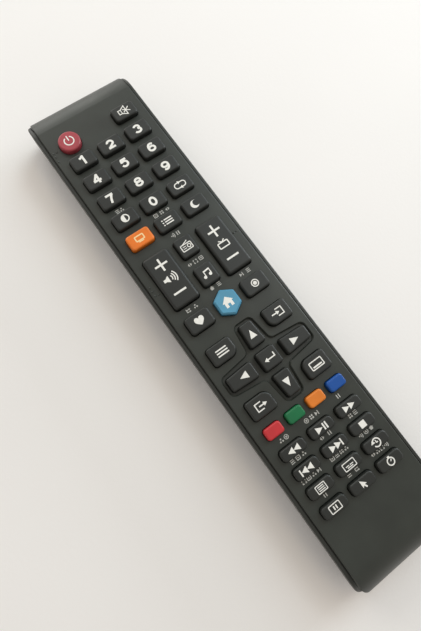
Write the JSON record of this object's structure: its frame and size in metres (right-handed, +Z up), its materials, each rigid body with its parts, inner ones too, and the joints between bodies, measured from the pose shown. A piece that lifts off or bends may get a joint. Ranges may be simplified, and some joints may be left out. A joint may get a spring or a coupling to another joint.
{
  "type": "tv remote control",
  "caption": "Long charcoal handheld remote control with rounded ends, raised push keys, two rocker keys, a cross of arrow keys, coloured keys and a sliding battery door.",
  "frame": {"origin": "middle of the underside, at the height of the surface that it rests on", "axes": "+X to the right across the face, +Y along the handset towards the emitter end, +Z up out of the face"},
  "size_m": [0.048, 0.2288, 0.0225],
  "materials": {
    "upper_case": "fine satin texture, charcoal",
    "lower_case": "fine satin texture, charcoal",
    "door_plastic": "fine satin texture, charcoal",
    "key_plastic": "smooth satin, near black",
    "power_red": "satin rosy red",
    "home_blue": "satin light blue",
    "orange_plastic": "satin orange",
    "green_plastic": "satin green",
    "blue_plastic": "satin blue",
    "silicone": "matte moulded silicone",
    "board_laminate": "green solder mask on laminate",
    "emitter_resin": "dark clear resin",
    "chip_mould": "black moulding compound with tinned leads",
    "resonator_coat": "dipped ochre coat",
    "capacitor_can": "dark sleeve on an aluminium can",
    "contact_steel": "nickel-plated spring steel",
    "cell_can": "plain printed sleeve on a steel can"
  },
  "bodies": {
    "case": {"top_shell": "upper_case", "bottom_shell": "lower_case", "keypad_mat": "silicone", "circuit_board": "board_laminate", "infrared_led": "emitter_resin", "controller_chip": "chip_mould", "resonator": "resonator_coat", "capacitor": "capacitor_can", "battery_contacts": "contact_steel", "battery_cells": "cell_can"},
    "battery_door": {"battery_door": "door_plastic"},
    "audio_key": {"audio_key": "key_plastic"},
    "blue_key": {"blue_key": "blue_plastic"},
    "digit_0_key": {"digit_0_key": "key_plastic"},
    "digit_1_key": {"digit_1_key": "key_plastic"},
    "digit_2_key": {"digit_2_key": "key_plastic"},
    "digit_3_key": {"digit_3_key": "key_plastic"},
    "digit_4_key": {"digit_4_key": "key_plastic"},
    "digit_5_key": {"digit_5_key": "key_plastic"},
    "digit_6_key": {"digit_6_key": "key_plastic"},
    "digit_7_key": {"digit_7_key": "key_plastic"},
    "digit_8_key": {"digit_8_key": "key_plastic"},
    "digit_9_key": {"digit_9_key": "key_plastic"},
    "display_key": {"display_key": "key_plastic"},
    "down_key": {"down_key": "key_plastic"},
    "enter_key": {"enter_key": "key_plastic"},
    "exit_key": {"exit_key": "key_plastic"},
    "fast_forward_key": {"fast_forward_key": "key_plastic"},
    "favourite_key": {"favourite_key": "key_plastic"},
    "freeze_key": {"freeze_key": "key_plastic"},
    "green_key": {"green_key": "green_plastic"},
    "guide_key": {"guide_key": "key_plastic"},
    "home_key": {"home_key": "home_blue"},
    "left_key": {"left_key": "key_plastic"},
    "menu_key": {"menu_key": "key_plastic"},
    "mute_key": {"mute_key": "key_plastic"},
    "next_key": {"next_key": "key_plastic"},
    "orange_key": {"orange_key": "orange_plastic"},
    "picture_key": {"picture_key": "key_plastic"},
    "play_pause_key": {"play_pause_key": "key_plastic"},
    "pointer_key": {"pointer_key": "key_plastic"},
    "power_key": {"power_key": "power_red"},
    "previous_key": {"previous_key": "key_plastic"},
    "radio_key": {"radio_key": "key_plastic"},
    "record_key": {"record_key": "key_plastic"},
    "red_key": {"red_key": "power_red"},
    "rewind_key": {"rewind_key": "key_plastic"},
    "right_key": {"right_key": "key_plastic"},
    "screen_key": {"screen_key": "orange_plastic"},
    "sleep_key": {"sleep_key": "key_plastic"},
    "source_key": {"source_key": "key_plastic"},
    "stop_key": {"stop_key": "key_plastic"},
    "subtitle_key": {"subtitle_key": "key_plastic"},
    "swap_key": {"swap_key": "key_plastic"},
    "text_key": {"text_key": "key_plastic"},
    "time_shift_key": {"time_shift_key": "key_plastic"},
    "timer_key": {"timer_key": "key_plastic"},
    "up_key": {"up_key": "key_plastic"},
    "volume_rocker": {"volume_rocker": "key_plastic"},
    "channel_rocker": {"channel_rocker": "key_plastic"}
  },
  "joints": [
    {"name": "audio_key_press", "type": "slide", "parent": "case", "child": "audio_key", "axis": [0, 0, -1], "range_m": [0, 0.0009], "stiffness_N_per_m": 1200},
    {"name": "blue_key_press", "type": "slide", "parent": "case", "child": "blue_key", "axis": [0, 0, -1], "range_m": [0, 0.0009], "stiffness_N_per_m": 1200},
    {"name": "digit_0_key_press", "type": "slide", "parent": "case", "child": "digit_0_key", "axis": [0, 0, -1], "range_m": [0, 0.0009], "stiffness_N_per_m": 1200},
    {"name": "digit_1_key_press", "type": "slide", "parent": "case", "child": "digit_1_key", "axis": [0, 0, -1], "range_m": [0, 0.0009], "stiffness_N_per_m": 1200},
    {"name": "digit_2_key_press", "type": "slide", "parent": "case", "child": "digit_2_key", "axis": [0, 0, -1], "range_m": [0, 0.0009], "stiffness_N_per_m": 1200},
    {"name": "digit_3_key_press", "type": "slide", "parent": "case", "child": "digit_3_key", "axis": [0, 0, -1], "range_m": [0, 0.0009], "stiffness_N_per_m": 1200},
    {"name": "digit_4_key_press", "type": "slide", "parent": "case", "child": "digit_4_key", "axis": [0, 0, -1], "range_m": [0, 0.0009], "stiffness_N_per_m": 1200},
    {"name": "digit_5_key_press", "type": "slide", "parent": "case", "child": "digit_5_key", "axis": [0, 0, -1], "range_m": [0, 0.0009], "stiffness_N_per_m": 1200},
    {"name": "digit_6_key_press", "type": "slide", "parent": "case", "child": "digit_6_key", "axis": [0, 0, -1], "range_m": [0, 0.0009], "stiffness_N_per_m": 1200},
    {"name": "digit_7_key_press", "type": "slide", "parent": "case", "child": "digit_7_key", "axis": [0, 0, -1], "range_m": [0, 0.0009], "stiffness_N_per_m": 1200},
    {"name": "digit_8_key_press", "type": "slide", "parent": "case", "child": "digit_8_key", "axis": [0, 0, -1], "range_m": [0, 0.0009], "stiffness_N_per_m": 1200},
    {"name": "digit_9_key_press", "type": "slide", "parent": "case", "child": "digit_9_key", "axis": [0, 0, -1], "range_m": [0, 0.0009], "stiffness_N_per_m": 1200},
    {"name": "display_key_press", "type": "slide", "parent": "case", "child": "display_key", "axis": [0, 0, -1], "range_m": [0, 0.0009], "stiffness_N_per_m": 1200},
    {"name": "down_key_press", "type": "slide", "parent": "case", "child": "down_key", "axis": [0, 0, -1], "range_m": [0, 0.0009], "stiffness_N_per_m": 1200},
    {"name": "enter_key_press", "type": "slide", "parent": "case", "child": "enter_key", "axis": [0, 0, -1], "range_m": [0, 0.0009], "stiffness_N_per_m": 1200},
    {"name": "exit_key_press", "type": "slide", "parent": "case", "child": "exit_key", "axis": [0, 0, -1], "range_m": [0, 0.0009], "stiffness_N_per_m": 1200},
    {"name": "fast_forward_key_press", "type": "slide", "parent": "case", "child": "fast_forward_key", "axis": [0, 0, -1], "range_m": [0, 0.0009], "stiffness_N_per_m": 1200},
    {"name": "favourite_key_press", "type": "slide", "parent": "case", "child": "favourite_key", "axis": [0, 0, -1], "range_m": [0, 0.0009], "stiffness_N_per_m": 1200},
    {"name": "freeze_key_press", "type": "slide", "parent": "case", "child": "freeze_key", "axis": [0, 0, -1], "range_m": [0, 0.0009], "stiffness_N_per_m": 1200},
    {"name": "green_key_press", "type": "slide", "parent": "case", "child": "green_key", "axis": [0, 0, -1], "range_m": [0, 0.0009], "stiffness_N_per_m": 1200},
    {"name": "guide_key_press", "type": "slide", "parent": "case", "child": "guide_key", "axis": [0, 0, -1], "range_m": [0, 0.0009], "stiffness_N_per_m": 1200},
    {"name": "home_key_press", "type": "slide", "parent": "case", "child": "home_key", "axis": [0, 0, -1], "range_m": [0, 0.0009], "stiffness_N_per_m": 1200},
    {"name": "left_key_press", "type": "slide", "parent": "case", "child": "left_key", "axis": [0, 0, -1], "range_m": [0, 0.0009], "stiffness_N_per_m": 1200},
    {"name": "menu_key_press", "type": "slide", "parent": "case", "child": "menu_key", "axis": [0, 0, -1], "range_m": [0, 0.0009], "stiffness_N_per_m": 1200},
    {"name": "mute_key_press", "type": "slide", "parent": "case", "child": "mute_key", "axis": [0, 0, -1], "range_m": [0, 0.0009], "stiffness_N_per_m": 1200},
    {"name": "next_key_press", "type": "slide", "parent": "case", "child": "next_key", "axis": [0, 0, -1], "range_m": [0, 0.0009], "stiffness_N_per_m": 1200},
    {"name": "orange_key_press", "type": "slide", "parent": "case", "child": "orange_key", "axis": [0, 0, -1], "range_m": [0, 0.0009], "stiffness_N_per_m": 1200},
    {"name": "picture_key_press", "type": "slide", "parent": "case", "child": "picture_key", "axis": [0, 0, -1], "range_m": [0, 0.0009], "stiffness_N_per_m": 1200},
    {"name": "play_pause_key_press", "type": "slide", "parent": "case", "child": "play_pause_key", "axis": [0, 0, -1], "range_m": [0, 0.0009], "stiffness_N_per_m": 1200},
    {"name": "pointer_key_press", "type": "slide", "parent": "case", "child": "pointer_key", "axis": [0, 0, -1], "range_m": [0, 0.0009], "stiffness_N_per_m": 1200},
    {"name": "power_key_press", "type": "slide", "parent": "case", "child": "power_key", "axis": [0, 0, -1], "range_m": [0, 0.0009], "stiffness_N_per_m": 1200},
    {"name": "previous_key_press", "type": "slide", "parent": "case", "child": "previous_key", "axis": [0, 0, -1], "range_m": [0, 0.0009], "stiffness_N_per_m": 1200},
    {"name": "radio_key_press", "type": "slide", "parent": "case", "child": "radio_key", "axis": [0, 0, -1], "range_m": [0, 0.0009], "stiffness_N_per_m": 1200},
    {"name": "record_key_press", "type": "slide", "parent": "case", "child": "record_key", "axis": [0, 0, -1], "range_m": [0, 0.0009], "stiffness_N_per_m": 1200},
    {"name": "red_key_press", "type": "slide", "parent": "case", "child": "red_key", "axis": [0, 0, -1], "range_m": [0, 0.0009], "stiffness_N_per_m": 1200},
    {"name": "rewind_key_press", "type": "slide", "parent": "case", "child": "rewind_key", "axis": [0, 0, -1], "range_m": [0, 0.0009], "stiffness_N_per_m": 1200},
    {"name": "right_key_press", "type": "slide", "parent": "case", "child": "right_key", "axis": [0, 0, -1], "range_m": [0, 0.0009], "stiffness_N_per_m": 1200},
    {"name": "screen_key_press", "type": "slide", "parent": "case", "child": "screen_key", "axis": [0, 0, -1], "range_m": [0, 0.0009], "stiffness_N_per_m": 1200},
    {"name": "sleep_key_press", "type": "slide", "parent": "case", "child": "sleep_key", "axis": [0, 0, -1], "range_m": [0, 0.0009], "stiffness_N_per_m": 1200},
    {"name": "source_key_press", "type": "slide", "parent": "case", "child": "source_key", "axis": [0, 0, -1], "range_m": [0, 0.0009], "stiffness_N_per_m": 1200},
    {"name": "stop_key_press", "type": "slide", "parent": "case", "child": "stop_key", "axis": [0, 0, -1], "range_m": [0, 0.0009], "stiffness_N_per_m": 1200},
    {"name": "subtitle_key_press", "type": "slide", "parent": "case", "child": "subtitle_key", "axis": [0, 0, -1], "range_m": [0, 0.0009], "stiffness_N_per_m": 1200},
    {"name": "swap_key_press", "type": "slide", "parent": "case", "child": "swap_key", "axis": [0, 0, -1], "range_m": [0, 0.0009], "stiffness_N_per_m": 1200},
    {"name": "text_key_press", "type": "slide", "parent": "case", "child": "text_key", "axis": [0, 0, -1], "range_m": [0, 0.0009], "stiffness_N_per_m": 1200},
    {"name": "time_shift_key_press", "type": "slide", "parent": "case", "child": "time_shift_key", "axis": [0, 0, -1], "range_m": [0, 0.0009], "stiffness_N_per_m": 1200},
    {"name": "timer_key_press", "type": "slide", "parent": "case", "child": "timer_key", "axis": [0, 0, -1], "range_m": [0, 0.0009], "stiffness_N_per_m": 1200},
    {"name": "up_key_press", "type": "slide", "parent": "case", "child": "up_key", "axis": [0, 0, -1], "range_m": [0, 0.0009], "stiffness_N_per_m": 1200},
    {"name": "volume_rocker_tilt", "type": "hinge", "parent": "case", "child": "volume_rocker", "pos_m": [-0.01255, 0.0206, 0.0178], "axis": [1, 0, 0], "range_deg": [-3, 3], "stiffness_Nm_per_rad": 0.2},
    {"name": "channel_rocker_tilt", "type": "hinge", "parent": "case", "child": "channel_rocker", "pos_m": [0.01255, 0.0206, 0.0178], "axis": [1, 0, 0], "range_deg": [-3, 3], "stiffness_Nm_per_rad": 0.2},
    {"name": "battery_door_slide", "type": "slide", "parent": "case", "child": "battery_door", "axis": [0, -1, 0], "range_m": [0, 0.06]}
  ]
}
